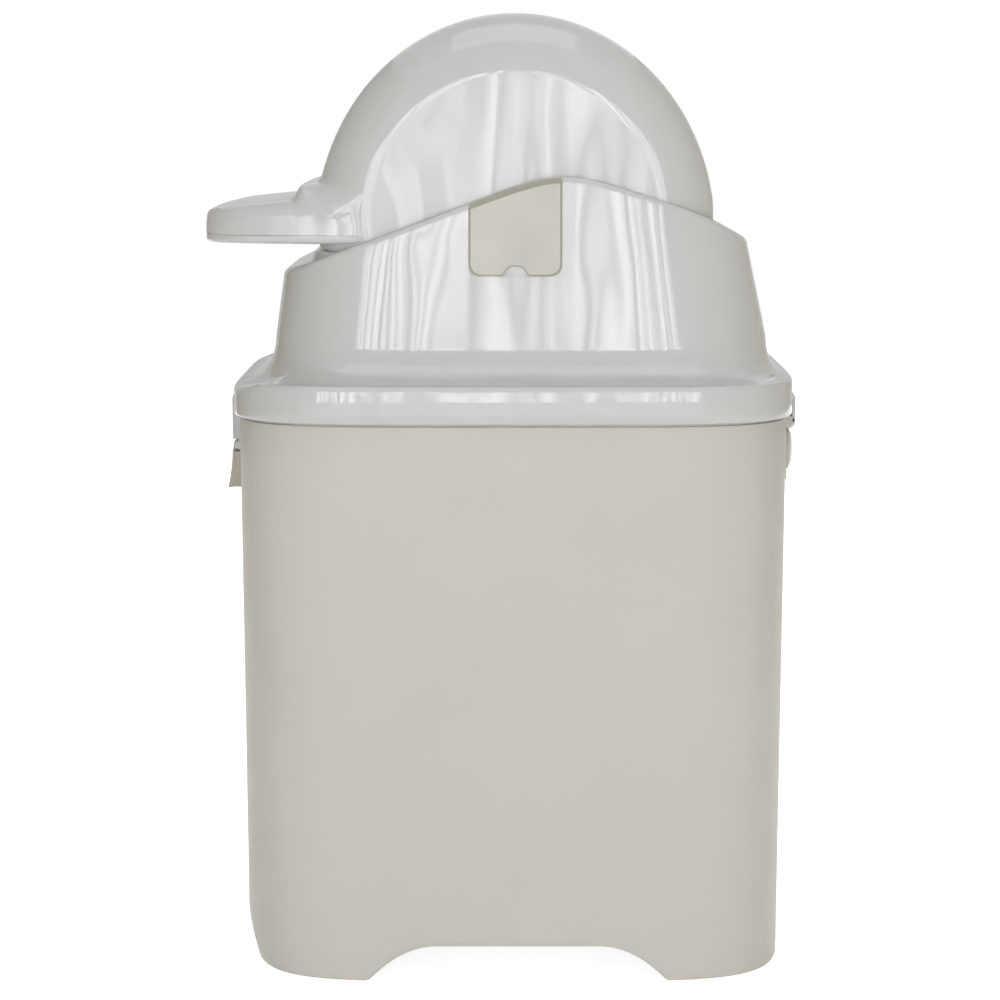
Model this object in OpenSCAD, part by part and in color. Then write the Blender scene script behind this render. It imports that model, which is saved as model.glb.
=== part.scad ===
// Nappy bin: a rounded-square bin with a hinged head that carries a flip-over drum hood.
// +Z is up, the hood's handle points along -X, and the axle of the hood runs along Y.

/* [Bin body] */
// Length of the body at its top, front to rear
body_l = 302.4; // [286:0.1:320]
// How far the body's centre lies in front of the hood's axle
body_lead = 1; // [0:0.1:3]
// Width of the body at its top
body_w = 290; // [276:1:310]
// Height of the body's outer shoulder, under the rim
body_h = 302.3; // [260:0.1:360]
// Squareness of the body's corners
body_n = 5.2; // [4.6:0.1:7]
// Wall thickness of the body
body_wall = 2.6; // [2:0.1:3.4]
// How much each side leans in by the bottom
body_draft = 2; // [0:0.5:6]
// How far the front tucks in at the foot
front_tuck = 5; // [0:0.5:8]
// Height over which the front tucks in
tuck_h = 26; // [10:1:40]
// Height of the floor's underside
floor_h = 22; // [20:1:40]
// Thickness of the floor
floor_t = 3; // [2:0.1:5]

/* [Foot arches] */
// Height of the arches in the foot
arch_h = 19.5; // [8:0.5:19.5]
// Width of the side arches at the ground
arch_l = 164; // [120:1:190]
// Width of the front and rear arches at the ground
arch_w = 150; // [110:1:180]
// Length of an arch's curved end
arch_run = 38; // [15:1:45]

/* [Bag ring] */
// Width of the bag ring's opening
bag_open = 210; // [180:1:220]
// Depth of the ledge that carries the bag ring, below the body's top
ledge_drop = 16; // [12:1:30]
// How far the ledge stands in from the wall
ledge_in = 3; // [2:0.5:5]
// Thickness of the bag ring
bag_ring_t = 2.7; // [2:0.1:4]
// Height of the bag ring's skirt
bag_skirt_h = 15; // [8:1:30]

/* [Head] */
// Height of the head's rim
rim_h = 20; // [16:0.5:24]
// How far the rim's top dips along its front
front_dip = 4.5; // [0:0.5:6]
// How far the rim stands out from the body
rim_proud = 3; // [2:0.1:4]
// Height of the shadow gap under the rim
rim_gap = 1.2; // [0.6:0.1:2]
// Height of the body's inner lip, up inside the rim
lip_up = 3.8; // [2.5:0.1:5]
// Wall thickness of the head
head_wall = 2.5; // [2:0.1:3]
// Height of the curved flare above the rim
flare_h = 19.5; // [14:0.5:28]
// Lean of the front wall, in degrees
front_lean = 8; // [4:0.5:11]
// Lean of the rear wall, in degrees
rear_lean = 12; // [6:0.5:13]
// Lean of the side walls, in degrees
side_lean = 4.5; // [3:0.5:5.5]
// Squareness of the upper head's corners
shroud_n = 4.6; // [4.4:0.1:5.5]
// How far the upper head's centre lies behind the hood's axle
shroud_x = 3.4; // [0:0.1:4.5]
// Length of the decks in front of and behind the hood
deck_l = 28.9; // [25:0.1:32]
// Height of the crest's peak above the axle
crest_rise = 23.2; // [18:0.1:30]
// Place of the crest's peak, behind the axle
crest_x = 24.2; // [5:0.1:40]
// Fall of the crest towards the front, per unit of length
front_slope = 0.375; // [0.3:0.005:0.42]
// Fall of the crest towards the rear, per unit of length
rear_slope = 0.31; // [0.2:0.005:0.4]
// Height of the lip in front of the hood's opening
lip_h = 4; // [1:0.5:5]

/* [Hood] */
// Radius of the hood's drum
hood_r = 107.7; // [100:0.1:114]
// Width of the hood's drum
hood_w = 220; // [204:1:228]
// Rounding of the drum's edges
hood_round = 32; // [20:1:38]
// Wall thickness of the hood
hood_wall = 2.6; // [2:0.1:3.4]
// Height of the axle above the body's shoulder
axle_rise = 109.2; // [104:0.1:116]
// Angle of the drum's wall past level, at each end
hood_over = 36; // [34:1:42]
// Running gap between the hood and the head
hood_gap = 2; // [1:0.1:2.5]

/* [Handle] */
// Reach of the handle from the drum
handle_l = 61.6; // [45:0.1:70]
// Depth of the handle's underside below the axle
handle_drop = 15.3; // [10:0.1:17]
// Thickness of the handle at its tip
handle_t = 17.3; // [14:0.1:24]
// Radius of the handle's corners
handle_round = 26; // [18:1:34]
// Thickness of the plate under the handle
under_t = 4.2; // [3.6:0.1:6]

/* [Pivot] */
// Radius of the spigots that the hood turns on
spigot_r = 7; // [5:0.1:7.5]
// Radial clearance of running and sliding fits
run_fit = 0.05; // [0.02:0.01:0.09]
// Width of the pivot clip's plate
clip_w = 49; // [40:1:60]
// Height of the pivot clip's plate below the axle
clip_drop = 31.5; // [26:0.5:40]
// Thickness of the pivot clip's plate
clip_t = 1.5; // [1.2:0.1:1.8]
// Radius of the pivot clip's lower corners
clip_round = 6; // [3:0.5:8]
// Width of the finger notch in the pivot clip
notch_w = 14; // [10:1:20]
// Height of the finger notch in the pivot clip
notch_h = 5; // [3:0.5:7]
// Gap round the pivot clip
clip_gap = 0.5; // [0.3:0.1:0.8]

/* [Latch and hinge] */
// Width of the latch and hinge tabs
tab_w = 46; // [42:1:76]
// Distance of the latch pin from the body
latch_stand = 5.1; // [4.9:0.05:6]
// Distance of the latch pin below the body's top
latch_drop = 24.3; // [22:0.1:32]
// Height of the latch flap below its pin
flap_h = 24; // [18:0.5:30]
// How far the flap's lower edge flares out
flap_flare = 2.8; // [1:0.1:6]
// Distance of the hinge pin from the body
hinge_stand = 5.8; // [5:0.05:6.2]
// Distance of the hinge pin below the body's top
hinge_drop = 11; // [10:0.1:16]
// Radius of the barrel on the latch pin
latch_barrel_r = 3; // [2.8:0.1:3.4]
// Radius of the barrels on the hinge pin
hinge_barrel_r = 3.6; // [3:0.1:3.8]
// Radius of the hinge and latch pins
pin_r = 1.3; // [1:0.1:1.5]
// Height of the release button
button_h = 19; // [16:0.5:20]
// Length by which the release button is wider than it is high
button_long = 14; // [4:1:16]
// Travel of the release button
button_travel = 2.5; // [1:0.1:3]

/* [Seals and screws] */
// Thickness of the rim gasket
gasket_t = 2.9; // [2:0.1:3.2]
// Thickness of the hood's wiper seal
seal_t = 3.5; // [2:0.1:5]
// Depth of the wiper seal's top below the axle
seal_drop = 44; // [42:0.5:50]
// Thickness of the retainer under the wiper seal
retainer_t = 3; // [2:0.1:4]
// Radius of the small screws
screw_r = 1.5; // [1.2:0.1:1.8]
// Radius of the bracket screws
bracket_screw_r = 2; // [1.6:0.1:2.4]

/* [Hidden] */
$fn = 48;

taupe = "#c6c0b6";
pale_taupe = "#d2cdc5";
white = "#eeeeee";
pearl = "#d8d2c6";
rubber_grey = "#8b8985";
steel = "#b8bbbf";

// Columns of points round each lofted outline
cols = 72;
// Gap between pieces that only lie against each other
seat_gap = 0.3;

body_top = body_h + lip_up;
lip_cut = 1.2;
seam_z = body_h + rim_gap;
rim_top = seam_z + rim_h;
flare_top = rim_top + flare_h;
axle_z = body_h + axle_rise;
rim_a = body_l/2 + rim_proud;
rim_b = body_w/2 + rim_proud;
rim_edge_r = 3;
rim_edge_cut = 0.8;

// The upper head is sized from the hood that turns in it
side_room = 7.1;
shroud_a = hood_r + deck_l;
shroud_b = hood_w/2 + side_room + tan(side_lean)*(axle_z - flare_top);
roll_r = 2;
crest_blend = 3.2;
rear_corner_drop = 14.5;
rear_corner_slope = 0.6;
rear_corner_x = shroud_x + shroud_a - tan(rear_lean)*(axle_z - rear_corner_drop - flare_top);
open_a = hood_r + hood_gap - 1.5;
open_b = hood_w/2 + 2.5;
open_n = 7.5;
open_x = 1.5;
deck_t = 2.6;

disc_r = hood_r - hood_round;
drum_flat = hood_w/2 - hood_round;
hub_r = spigot_r + 5.5;
hub_bush_r = spigot_r + 3;
hub_in = hood_w/2 - 20;
pivot_bush_r = spigot_r + 2;
pivot_boss_r = spigot_r + 4.8;
pivot_face = hood_w/2 + 2;
wall_y = hood_w/2 + side_room;
pocket_depth = 1.2;
clip_back = 1;

seal_z = axle_z - seal_drop - seal_t;
retainer_z = seal_z - seat_gap - retainer_t;

gasket_z = body_top + seat_gap;
gasket_rib_z = gasket_z + gasket_t + 0.1;
gasket_rib_t = 2.4;

latch_x = -(body_l/2 + latch_stand);
latch_z = body_h - latch_drop;
front_tab_x = -latch_x + latch_barrel_r;
hinge_x = body_l/2 + hinge_stand;
hinge_z = body_h - hinge_drop;
rear_tab_x = hinge_x + hinge_barrel_r;
tab_t = 1.8;
knuckle_w = 18;
plate_gap = 0.2;
wall_face = body_l/2 + plate_gap;
button_z = hinge_z - hinge_barrel_r - button_h/2 - 3.2;
button_face = rear_tab_x - 0.5;

handle_x = hood_r + handle_l;
handle_root_b = hood_w/2 - 6;
handle_taper = 8;
handle_low = axle_z - handle_drop;

// Moves the model so that the origin lies under the middle of its box
x_shift = (handle_x + body_lead - rear_tab_x)/2;

function mix(a, b, t) = a + (b - a)*t;
function smooth(t) = let (c = max(0, min(1, t))) c*c*(3 - 2*c);
function soft_min(a, b, k) = a - k*ln(1 + exp((a - b)/k));

// One point of a rounded-square outline, with more columns where it bends
function column(i) = i*360/cols + 6*sin(4*i*360/cols);
function round_square(t, front, rear, half_w, n) =
    let (
        a = cos(t) < 0 ? front : rear,
        r = pow(pow(abs(cos(t))/a, n) + pow(abs(sin(t))/half_w, n), -1/n)
    ) [r*cos(t), r*sin(t)];
function outline(front, rear, half_w, n, x = 0) = [
    for (i = [0:cols - 1]) round_square(column(i), front, rear, half_w, n) + [x, 0]
];
function raised(points, z) = [for (p = points) [p.x, p.y, z]];

// Skins a run of rings, closed end to end or capped by a fan at each end
module skin(rings, capped = false) {
    n = len(rings[0]);
    m = len(rings);
    last = capped ? m - 2 : m - 1;
    middle = [for (r = [rings[0], rings[m - 1]]) [0, 0, r[0].z]];
    points = concat([for (r = rings) each r], capped ? middle : []);
    sides = [
        for (j = [0:last], i = [0:n - 1])
            let (a = j*n + i, b = j*n + (i + 1)%n, c = ((j + 1)%m)*n + (i + 1)%n, d = ((j + 1)%m)*n + i)
                each [[a, c, b], [a, d, c]]
    ];
    ends = [
        for (i = [0:n - 1]) each [
            [m*n, i, (i + 1)%n],
            [m*n + 1, (m - 1)*n + (i + 1)%n, (m - 1)*n + i]
        ]
    ];
    polyhedron(points, capped ? concat(sides, ends) : sides, convexity = 10);
}

module centred() { translate([x_shift, 0, 0]) children(); }
module on_body() { translate([x_shift - body_lead, 0, 0]) children(); }
// Draws a side profile, given as X and Z, across a stretch of Y
module across(y0, y1) { translate([0, y1, 0]) rotate([90, 0, 0]) linear_extrude(y1 - y0) children(); }
module y_rod(r, y0, y1) { translate([0, y0, 0]) rotate([-90, 0, 0]) cylinder(r = r, h = y1 - y0); }
module x_rod(r, x0, x1) { translate([x0, 0, 0]) rotate([0, 90, 0]) cylinder(r = r, h = x1 - x0); }
module both_sides() { children(); mirror([0, 1, 0]) children(); }

// The bin body
function body_ring(z, inset) =
    let (
        in = inset + body_draft*(1 - min(1, z/body_h)),
        tuck = front_tuck*pow(max(0, 1 - z/tuck_h), 1.5)
    ) raised(outline(body_l/2 - in - tuck, body_l/2 - in, body_w/2 - in, body_n), z);

ledge_z = body_h - ledge_drop;
floor_top = floor_h + floor_t;
// The foot ring is a wall of its own under the floor, flush with the body
foot_rings = [
    body_ring(floor_h, body_wall),
    body_ring(0, body_wall),
    body_ring(0, 0.8),
    body_ring(0.8, 0),
    for (k = [1:4]) body_ring(k*floor_h/4, 0)
];
body_rings = [
    body_ring(floor_h, 0),
    body_ring(max(floor_h + 1, tuck_h), 0),
    body_ring(body_h - 0.5, 0),
    body_ring(body_h, 0.5),
    body_ring(body_h, lip_cut),
    body_ring(body_top - 0.3, lip_cut),
    body_ring(body_top, lip_cut + 0.3),
    body_ring(body_top, body_wall - 0.3),
    body_ring(body_top - 0.3, body_wall),
    body_ring(ledge_z + 0.2, body_wall),
    body_ring(ledge_z, body_wall + ledge_in),
    body_ring(ledge_z - 3, body_wall + ledge_in),
    body_ring(ledge_z - 9, body_wall),
    body_ring(floor_top + 5, body_wall),
    body_ring(floor_top + 1.5, body_wall + 1.5),
    body_ring(floor_top, body_wall + 5)
];

// Half of an arch: flat on top, with an end that falls ever faster to the ground
function arch_end(width) = [
    for (k = [0:10])
        let (s = k/10) [width/2 - arch_run*(1 - s), arch_h*(1 - s*s)]
];
module arch(width) {
    half = arch_end(width);
    mirrored = [for (k = [10:-1:0]) [-half[k].x, half[k].y]];
    across(-body_w, body_w)
        polygon(concat(mirrored, half, [[width/2, -5], [-width/2, -5]]));
}

screw_y = tab_w/2 - 9;
latch_screw_z = latch_z - 15;
hinge_screw_y = tab_w/2 - 4.5;
hinge_screw_z = button_z - 10;
bracket_hole_r = bracket_screw_r + 0.2;

module foot_ring() {
    color(taupe) on_body() difference() {
        skin(foot_rings);
        translate([front_tuck/2, 0, 0]) arch(arch_l);
        rotate([0, 0, 90]) arch(arch_w);
    }
}

module bin_body() {
    color(taupe) on_body() difference() {
        skin(body_rings, capped = true);
        both_sides() {
            translate([-body_l/2, screw_y, latch_screw_z]) x_rod(bracket_hole_r, -5, 10);
            translate([body_l/2, hinge_screw_y, hinge_screw_z]) x_rod(bracket_hole_r, -10, 5);
        }
    }
}

// The ring that the bag hangs on lies on the ledge inside the body
bag_ring_z = ledge_z + seat_gap;
finger_hole_r = 10;
module bag_ring() {
    in = body_wall + 0.6 + body_draft*ledge_drop/body_h;
    hole = outline(bag_open/2, bag_open/2, bag_open/2, body_n);
    skirt = outline(bag_open/2 + 2.2, bag_open/2 + 2.2, bag_open/2 + 2.2, body_n);
    color(white) on_body() difference() {
        union() {
            translate([0, 0, bag_ring_z]) linear_extrude(bag_ring_t)
                polygon(outline(body_l/2 - in, body_l/2 - in, body_w/2 - in, body_n));
            translate([0, 0, bag_ring_z + bag_ring_t - bag_skirt_h]) linear_extrude(bag_skirt_h)
                polygon(skirt);
        }
        translate([0, 0, bag_ring_z - bag_skirt_h]) linear_extrude(2*bag_skirt_h) polygon(hole);
        for (s = [-1, 1])
            translate([s*(bag_open/2 + body_l/2)/2, 0, bag_ring_z - 1])
                cylinder(r = finger_hole_r, h = bag_ring_t + 2);
    }
}

// The front latch: a bracket on the body, a pin, a sprung flap
flange_t = 2;
flange_y = tab_w/2 - 4.5;
bracket_plate_t = 1.5;
bracket_top = body_h - 1;
latch_bracket_low = latch_z - flap_h;
ear_r = 2.4;
screw_boss_r = bracket_screw_r + 1.5;
latch_boss_x = wall_face + 4;
latch_barrel_y = flange_y - 0.6;

module latch_bracket() {
    color(taupe) on_body() difference() {
        union() {
            translate([-wall_face - bracket_plate_t, -flange_y - flange_t, latch_bracket_low])
                cube([bracket_plate_t, 2*(flange_y + flange_t), bracket_top - latch_bracket_low]);
            both_sides() {
                translate([latch_x, flange_y, latch_bracket_low])
                    cube([-latch_x - wall_face, flange_t, bracket_top - latch_bracket_low]);
                translate([latch_x, 0, latch_z]) y_rod(ear_r, flange_y, flange_y + flange_t);
                translate([0, screw_y, latch_screw_z])
                    x_rod(screw_boss_r, -latch_boss_x, -wall_face - bracket_plate_t/2);
            }
        }
        translate([latch_x, 0, latch_z]) y_rod(pin_r + run_fit, -tab_w, tab_w);
        both_sides()
            translate([0, screw_y, latch_screw_z])
                x_rod(bracket_screw_r + run_fit, -latch_boss_x + 0.8, -wall_face + 1);
    }
}

screw_head_r = 1.9*bracket_screw_r;
screw_head_t = 2;
module bracket_screw(reach) {
    in = body_l/2 - body_wall - body_draft*0.3;
    x_rod(screw_head_r, in - screw_head_t, in);
    x_rod(bracket_screw_r, in - 0.5, reach);
}

module latch_bracket_screws() {
    color(steel) on_body()
        both_sides() mirror([1, 0, 0]) translate([0, screw_y, latch_screw_z]) bracket_screw(latch_boss_x - 1.2);
}

module pin(half_l) {
    y_rod(pin_r, -half_l, half_l);
    both_sides() y_rod(pin_r + 0.9, half_l - 0.01, half_l + 0.9);
}

module latch_pin() {
    color(steel) on_body() translate([latch_x, 0, latch_z]) pin(flange_y + flange_t + 0.1);
}

spring_room = 6;
spring_wire = 0.3;
spring_r = pin_r + spring_wire + 0.25;
flap_t = 2.4;
finger_h = 5.5;
finger_t = 1.5;
module latch_flap() {
    upper = -5.5;
    out = latch_barrel_r + flap_flare;
    low = [
        [-latch_barrel_r - 0.2, upper], [-latch_barrel_r - 1.1, -0.65*flap_h], [-out, -flap_h],
        [-out + flap_t, -flap_h - 0.3], [-latch_barrel_r - 1.1 + flap_t, -0.65*flap_h], [-latch_barrel_r - 0.2 + flap_t, upper]
    ];
    high = [[-latch_barrel_r, 0], [-latch_barrel_r - 0.2, upper], [-latch_barrel_r - 0.2 + flap_t, upper], [-1, -3]];
    color(pale_taupe) on_body() translate([latch_x, 0, latch_z]) difference() {
        union() {
            across(-tab_w/2, tab_w/2) polygon(low);
            across(-latch_barrel_y, latch_barrel_y) polygon(concat(high, [[0, 0]]));
            both_sides() {
                y_rod(latch_barrel_r, spring_room, latch_barrel_y);
                across(spring_room + 2, spring_room + 9) square([finger_t, finger_h]);
            }
        }
        y_rod(pin_r + run_fit, -tab_w, tab_w);
        y_rod(spring_r + spring_wire + 0.3, -spring_room, spring_room);
    }
}

// A wire coil about the Y axis, as one unbroken tube
module coil(r, wire, pitch, turns) {
    steps = 8*turns;
    sides = 6;
    tube = [
        for (k = [0:steps])
            let (a = 45*k, y = pitch*k/8)
                [for (s = [0:sides - 1])
                    let (d = r + wire*cos(60*s))
                        [d*cos(a), y - pitch*turns/2 + wire*sin(60*s), d*sin(a)]]
    ];
    points = [for (ring = tube) each ring];
    last = steps*sides;
    walls = [
        for (k = [0:steps - 1], s = [0:sides - 1])
            let (a = k*sides + s, b = k*sides + (s + 1)%sides)
                each [[a, b, b + sides], [a, b + sides, a + sides]]
    ];
    ends = [
        for (s = [1:sides - 2])
            each [[0, s + 1, s], [last, last + s, last + s + 1]]
    ];
    polyhedron(points, concat(walls, ends), convexity = 10);
}

module latch_spring() {
    color(steel) on_body() translate([latch_x, 0, latch_z]) coil(spring_r, spring_wire, 1.3, 8);
}

// The rear hinge: a bracket on the body that also holds the release button
hinge_plate_t = 1.7;
block_t = 4.5;
block_low = button_z - button_h/2 - 7;
block_top = hinge_z - hinge_barrel_r - 1.4;
button_gap = 0.3;
collar_wall = 2.6;
collar_face = button_face - 2;
collar_lip_t = 1.2;
button_back = wall_face + hinge_plate_t + button_travel + 0.3;

module pill(grow, x0, x1) {
    r = button_h/2 + grow;
    half = button_long/2;
    translate([0, 0, button_z]) {
        for (s = [-half, half]) translate([0, s, 0]) x_rod(r, x0, x1);
        translate([x0, -half, -r]) cube([x1 - x0, 2*half, 2*r]);
    }
}

module hinge_bracket() {
    y = tab_w/2;
    flange = button_gap + 1.5;
    color(taupe) on_body() difference() {
        union() {
            translate([wall_face, -y, block_low]) cube([block_t, 2*y, block_top - block_low]);
            pill(collar_wall, wall_face, collar_face);
            translate([hinge_x, 0, hinge_z]) y_rod(hinge_barrel_r, -knuckle_w/2, knuckle_w/2);
            translate([wall_face, -knuckle_w/2, block_top - 1])
                cube([hinge_x - wall_face, knuckle_w, hinge_z + 2.6 - block_top + 1]);
        }
        translate([hinge_x, 0, hinge_z]) y_rod(pin_r + run_fit, -y, y);
        pill(flange, wall_face + hinge_plate_t, collar_face - collar_lip_t);
        pill(button_gap, wall_face + hinge_plate_t, collar_face + 1);
        both_sides()
            translate([0, hinge_screw_y, hinge_screw_z])
                x_rod(bracket_screw_r + run_fit, wall_face - 1, wall_face + block_t - 0.8);
    }
}

module hinge_bracket_screws() {
    color(steel) on_body()
        both_sides() translate([0, hinge_screw_y, hinge_screw_z]) bracket_screw(wall_face + block_t - 1.2);
}

module hinge_pin() {
    color(steel) on_body() translate([hinge_x, 0, hinge_z]) pin(tab_w/2 + 0.1);
}

button_spring_r = 3.4;
// The button's face is stepped: how far each step is set in, and how far it lies behind the face
button_steps = [[0, 0.9], [1.1, 0.35], [2.4, 0]];
spring_seat = button_face - 2.4;
module release_button() {
    color(pale_taupe) on_body() difference() {
        union() {
            for (s = button_steps) pill(-s[0], button_back, button_face - s[1]);
            pill(1.2, button_back, collar_face - collar_lip_t - seat_gap);
        }
        translate([0, 0, button_z]) x_rod(button_spring_r + 0.9, button_back - 1, spring_seat);
    }
}

module button_spring() {
    turns = 3;
    gap = spring_seat - wall_face - hinge_plate_t - 2*spring_wire - 0.2;
    color(steel) on_body()
        translate([(spring_seat + wall_face + hinge_plate_t)/2, 0, button_z]) rotate([0, 0, 90])
            coil(button_spring_r, spring_wire, gap/turns, turns);
}

// The head: one skin from the rim up the flared wall, over the crest and down inside
// The rim's top dips along the front
function rim_top_at(p) = rim_top - front_dip*smooth((-p.x/rim_a - 0.86)/0.12);
function rim_ring(inset, below) = [for (p = rim_points(inset)) [p.x, p.y, rim_top_at(p) - below]];
function rim_points(inset) = outline(rim_a - inset, rim_a - inset, rim_b - inset, body_n, -body_lead);
function shroud_points(z, inset) =
    let (h = z - flare_top)
        outline(
            shroud_a - tan(front_lean)*h - inset, shroud_a - tan(rear_lean)*h - inset,
            shroud_b - tan(side_lean)*h - inset, shroud_n, shroud_x
        );
function crest(x) =
    let (
        peak = axle_z + crest_rise,
        front = peak + front_slope*(x - crest_x),
        rear = peak - rear_slope*(x - crest_x),
        corner = axle_z - rear_corner_drop + rear_corner_slope*(rear_corner_x - x)
    ) soft_min(soft_min(front, rear, crest_blend), corner, crest_blend);
function deck_z(p) = crest(p.x);

foot_points = shroud_points(flare_top, 0);
shoulder_points = rim_points(rim_edge_r);
// The wall's top edge, seen from above, and the hood's opening inside it
crest_points = shroud_points(axle_z, 0);
open_points = outline(open_a, open_a, open_b, open_n, open_x);
rim_cols = [0:cols - 1];

// The flare is a quarter ellipse in each column, set in by the wall on its inner face
function flare_ring(a, inset) = [
    for (i = rim_cols)
        let (
            p = mix(shoulder_points[i], foot_points[i], sin(a)),
            q = p*(1 - inset*sin(a)/norm(p)),
            h = flare_top - rim_top_at(shoulder_points[i])
        ) [q.x, q.y, flare_top - (h + inset)*cos(a)]
];
// The wall at a fraction of its height up to the crest
function wall_ring(f, inset, below) = [
    for (i = rim_cols)
        let (
            top = deck_z(crest_points[i]) - below,
            z = mix(flare_top, top, f),
            p = shroud_points(z, inset)[i]
        ) [p.x, p.y, z]
];
// The deck, at a distance from the opening and a height over or under its surface
function room(i) = norm(crest_points[i] - open_points[i]);
function raise(i) = smooth((room(i) - 4)/8);
function lip(i) = lip_h*raise(i)*smooth(-open_points[i].x/open_a);
function deck_point(i, d, up) =
    let (
        p = mix(open_points[i], crest_points[i], d/room(i)),
        z = deck_z(p) + up
    ) [p.x, p.y, z];

head_rings = [
    raised(rim_points(rim_edge_cut), seam_z),
    raised(rim_points(0), seam_z + rim_edge_cut),
    rim_ring(0, rim_edge_r),
    rim_ring(rim_edge_r*(1 - cos(45)), rim_edge_r*(1 - sin(45))),
    for (a = [0, 22, 44, 66]) flare_ring(a, 0),
    for (f = [0, 0.5, 1]) wall_ring(f, 0, roll_r),
    [for (i = rim_cols) deck_point(i, room(i) - roll_r*0.3, -roll_r*0.3)],
    [for (i = rim_cols) deck_point(i, room(i) - roll_r, 0)],
    [for (i = rim_cols) deck_point(i, min(6, 0.3*room(i)), 0)],
    [for (i = rim_cols) deck_point(i, min(4.5, 0.2*room(i)), lip(i))],
    [for (i = rim_cols) deck_point(i, min(1.2, 0.1*room(i)), lip(i))],
    [for (i = rim_cols) deck_point(i, 0, 0.75*lip(i) - 0.3)],
    [for (i = rim_cols) deck_point(i, 0, -deck_t - 1.5*raise(i))],
    [for (i = rim_cols) deck_point(i, mix(0.12, 2.5, raise(i)), -deck_t - 1.5*raise(i))],
    [for (i = rim_cols) deck_point(i, mix(0.24, 2.7, raise(i)), -deck_t)],
    for (f = [1, 0.5, 0]) wall_ring(f, head_wall, deck_t),
    for (a = [66, 44, 22, 0]) flare_ring(a, head_wall),
    rim_ring(head_wall, rim_edge_r + 1),
    raised(rim_points(head_wall), gasket_rib_z + gasket_rib_t),
    raised(rim_points(rim_proud + body_wall + 0.8), gasket_rib_z + gasket_rib_t),
    raised(rim_points(rim_proud + body_wall + 0.8), gasket_rib_z),
    raised(rim_points(head_wall), gasket_rib_z),
    raised(rim_points(head_wall), seam_z)
];

// The tab's outline above its foot, where it grows out of the rim
function tab_profile(reach, foot) =
    let (root = rim_a - 1.2)
        [
            [reach, foot], [reach, seam_z + 1.5], [reach - 1.2, seam_z + 4], [rim_a - 0.3, seam_z + 8],
            [root, seam_z + 8],
            [root, seam_z + 1], [reach - tab_t - 1, seam_z + 1], [reach - tab_t, seam_z], [reach - tab_t, foot]
        ];
front_tab_low = latch_z + latch_barrel_r + 0.6;
seal_boss_r = 4.5;
seal_boss_x = [-(open_a + 5.5), open_a + 7];
seal_boss_y = [-58, 0, 58];
seal_boss_z = seal_z + seal_t + seat_gap;
screw_bite = 8;

module at_seal_screws() {
    for (x = seal_boss_x, y = seal_boss_y) translate([x, y, 0]) children();
}

module wall_plane() {
    translate([0, -wall_y, axle_z]) rotate([90 - side_lean, 0, 0]) children();
}

clip_half = clip_w/2;
// The clip's face: rounded lower corners, and a top that follows the crest
module clip_outline(grow, top_drop) {
    w = clip_half + grow;
    low = -clip_drop - grow;
    r = clip_round;
    steps = 6;
    corner = [for (k = [0:steps]) let (a = 90*k/steps) [w - r + r*sin(a), low + r - r*cos(a)]];
    other = [for (k = [steps:-1:0]) [-corner[k].x, corner[k].y]];
    top = [for (k = [0:8]) let (x = w*(1 - k/4)) [x, crest(x) - axle_z - top_drop]];
    polygon(concat(corner, top, other));
}
module notch_outline() {
    low = -clip_drop;
    polygon([
        [-notch_w/2 - 1, low - 1], [-notch_w/2, low], [-notch_w/3, low + 0.8*notch_h], [-notch_w/8, low + notch_h],
        [notch_w/8, low + notch_h], [notch_w/3, low + 0.8*notch_h], [notch_w/2, low], [notch_w/2 + 1, low - 1]
    ]);
}

module head_tabs() {
    mirror([1, 0, 0]) across(-tab_w/2, tab_w/2) polygon(tab_profile(front_tab_x, front_tab_low));
    across(-tab_w/2, tab_w/2) polygon(tab_profile(rear_tab_x, hinge_z + hinge_barrel_r + 1.6));
    both_sides() {
        across(knuckle_w/2 + 0.5, tab_w/2) polygon(tab_profile(rear_tab_x, hinge_z));
        translate([hinge_x, 0, hinge_z]) y_rod(hinge_barrel_r, knuckle_w/2 + 0.5, tab_w/2);
    }
}

module head_shell() {
    hole_r = pivot_bush_r + run_fit;
    color(white) centred() difference() {
        union() {
            skin(head_rings);
            translate([-body_lead, 0, 0]) head_tabs();
            both_sides() translate([0, 0, axle_z]) y_rod(pivot_boss_r, pivot_face, wall_y - 2);
            for (x = seal_boss_x, y = seal_boss_y)
                translate([x, y, seal_boss_z])
                    cylinder(r = seal_boss_r, h = deck_z([x + sign(x)*seal_boss_r, y]) - 1.2 - seal_boss_z);
        }
        translate([hinge_x - body_lead, 0, hinge_z]) y_rod(pin_r + run_fit, -tab_w, tab_w);
        both_sides() {
            translate([0, 0, axle_z]) y_rod(hole_r, hood_w/2, wall_y + 5);
            wall_plane() translate([0, 0, -pocket_depth]) linear_extrude(pocket_depth + 3)
                clip_outline(clip_gap, -5);
        }
        at_seal_screws() translate([0, 0, seal_boss_z - 1]) cylinder(r = screw_r + run_fit, h = screw_bite + 1);
    }
}

module flat_ring(outer, inner, z, t) {
    translate([0, 0, z]) difference() {
        linear_extrude(t) polygon(outer);
        translate([0, 0, -1]) linear_extrude(t + 2) polygon(inner);
    }
}

module rim_gasket() {
    color(rubber_grey) centred()
        flat_ring(rim_points(rim_proud + 0.6), rim_points(rim_proud + body_wall + 0.4), gasket_z, gasket_t);
}

// The drum's cut outline at a depth below the axle, with a gap round it
function drum_quarter(depth, gap) = [
    for (k = [0:8])
        let (a = 90*k/8, r = disc_r + hood_round*cos(a))
            [sqrt(r*r - depth*depth) + gap, drum_flat + hood_round*sin(a) + gap]
];
function drum_outline(depth, gap) =
    let (q = drum_quarter(depth, gap), back = [8:-1:0])
        concat(
            q, [for (k = back) [-q[k].x, q[k].y]], [for (p = q) [-p.x, -p.y]], [for (k = back) [q[k].x, -q[k].y]]
        );

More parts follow.
